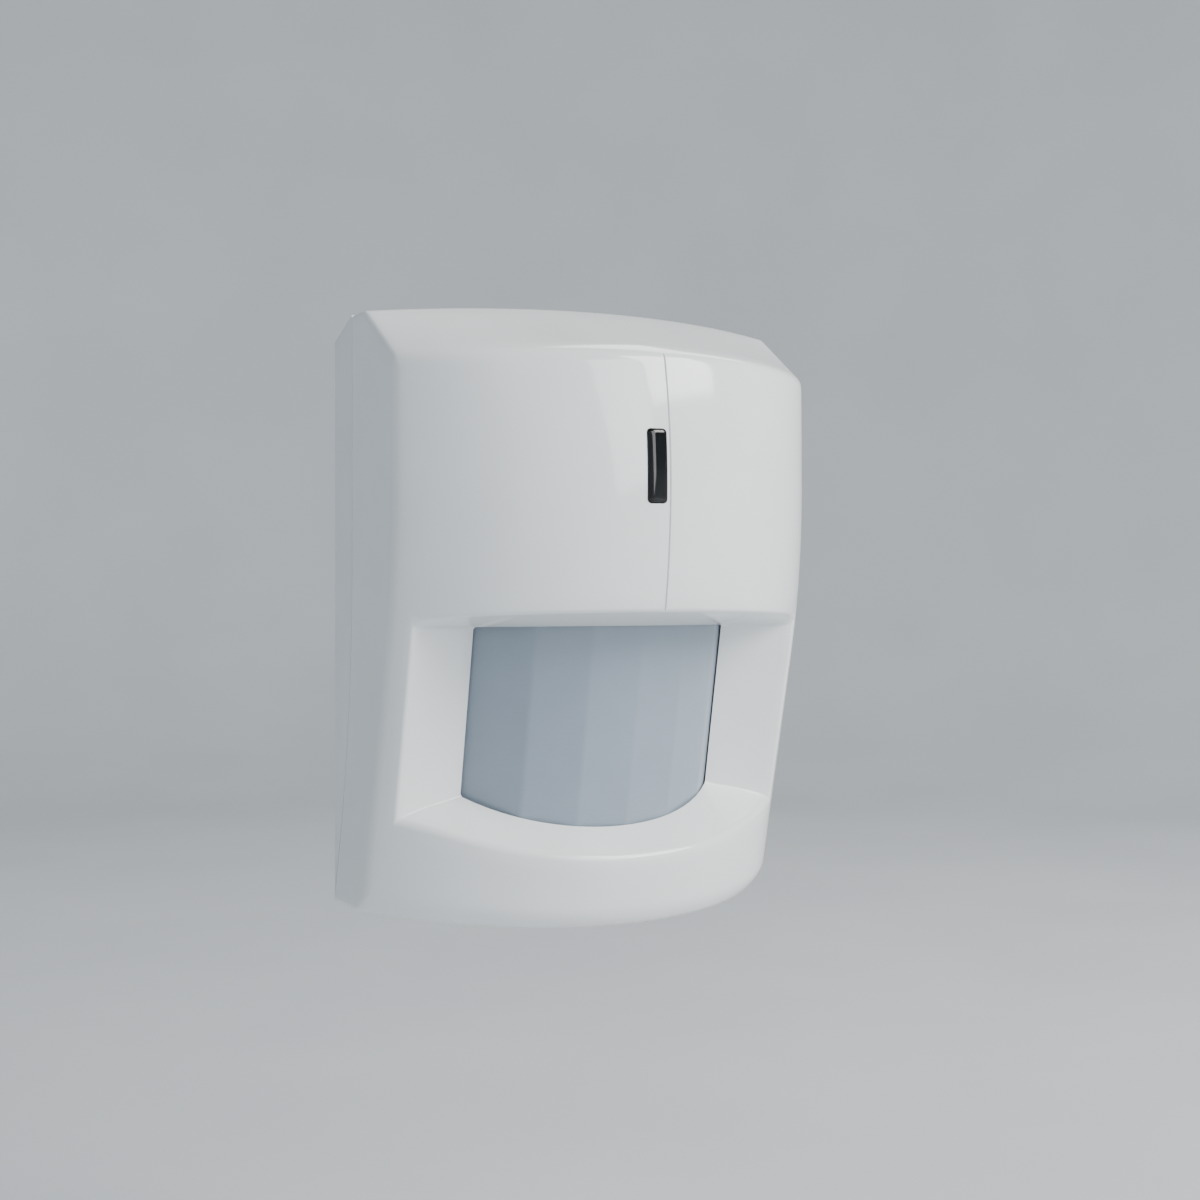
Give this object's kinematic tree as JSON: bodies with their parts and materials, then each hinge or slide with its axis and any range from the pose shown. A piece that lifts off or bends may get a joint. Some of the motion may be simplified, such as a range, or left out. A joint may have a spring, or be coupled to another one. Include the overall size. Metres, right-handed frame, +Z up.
{
  "type": "passive infrared motion sensor",
  "caption": "Corner or wall mounted passive infrared motion sensor with a bowed white housing, recessed Fresnel lens under a visor, hinged front cover and battery powered board.",
  "frame": {"origin": "centre of the flat wall face at the back of the rear base", "axes": "+Y into the wall, +Z up, the sensor looks along -Y, +X to the right seen from the front"},
  "size_m": [0.087, 0.0636, 0.1153],
  "materials": {
    "cover_white": "glossy moulded ABS",
    "base_white": "satin moulded ABS",
    "lens_film": "translucent polyethylene sheet",
    "window_black": "polished dark acrylic",
    "clear_acrylic": "clear moulded acrylic",
    "board_green": "solder mask on glass laminate",
    "black_plastic": "moulded nylon",
    "nickel": "nickel plated",
    "zinc_steel": "zinc plated",
    "battery_sleeve": "shrink sleeve",
    "switch_red": "moulded nylon"
  },
  "bodies": {
    "base": {"rear_base": "base_white", "circuit_board": "board_green", "board_screw_left": "zinc_steel", "board_screw_right": "zinc_steel", "pyro_sensor_can": "nickel", "pyro_window": "window_black", "pyro_collar": "black_plastic", "battery": "battery_sleeve", "battery_holder": "black_plastic", "battery_spring": "nickel", "battery_contact": "nickel", "tamper_switch": "black_plastic", "enrol_switch": "black_plastic", "dip_switch": "switch_red", "microcontroller": "black_plastic", "crystal": "nickel", "radio_board": "board_green", "radio_shield": "nickel", "status_led": "clear_acrylic", "antenna_coil": "nickel", "capacitor": "battery_sleeve", "pin_header": "black_plastic"},
    "cover": {"front_cover": "cover_white", "fresnel_lens": "lens_film", "lens_frame": "black_plastic", "led_window": "window_black", "light_guide": "clear_acrylic"},
    "tamper_stem": {"tamper_plunger": "cover_white"},
    "enrol_cap": {"enrol_button": "cover_white"},
    "slider_1": {"dip_slider_1": "cover_white"},
    "slider_2": {"dip_slider_2": "cover_white"},
    "bottom_screw": {"closing_screw": "zinc_steel"}
  },
  "joints": [
    {"name": "cover_hinge", "type": "hinge", "parent": "base", "child": "cover", "pos_m": [0, -0.0188, 0.0581], "axis": [-1, 0, 0], "range_deg": [0, 38]},
    {"name": "tamper_slide", "type": "slide", "parent": "base", "child": "tamper_stem", "axis": [0, -1, 0], "range_m": [0, 0.0015]},
    {"name": "enrol_press", "type": "slide", "parent": "base", "child": "enrol_cap", "axis": [0, 1, 0], "range_m": [0, 0.0004], "stiffness_N_per_m": 40},
    {"name": "dip_slide_1", "type": "slide", "parent": "base", "child": "slider_1", "axis": [0, 0, 1], "range_m": [0, 0.0022]},
    {"name": "dip_slide_2", "type": "slide", "parent": "base", "child": "slider_2", "axis": [0, 0, 1], "range_m": [0, 0.0022]},
    {"name": "closing_turn", "type": "hinge", "parent": "base", "child": "bottom_screw", "pos_m": [0, -0.0126, -0.0571], "axis": [0, 0, -1], "range_deg": [0, 1080]}
  ],
  "couplings": [
    {"joint": "tamper_slide", "follows": "cover_hinge", "m_per_rad": 0.00226}
  ]
}
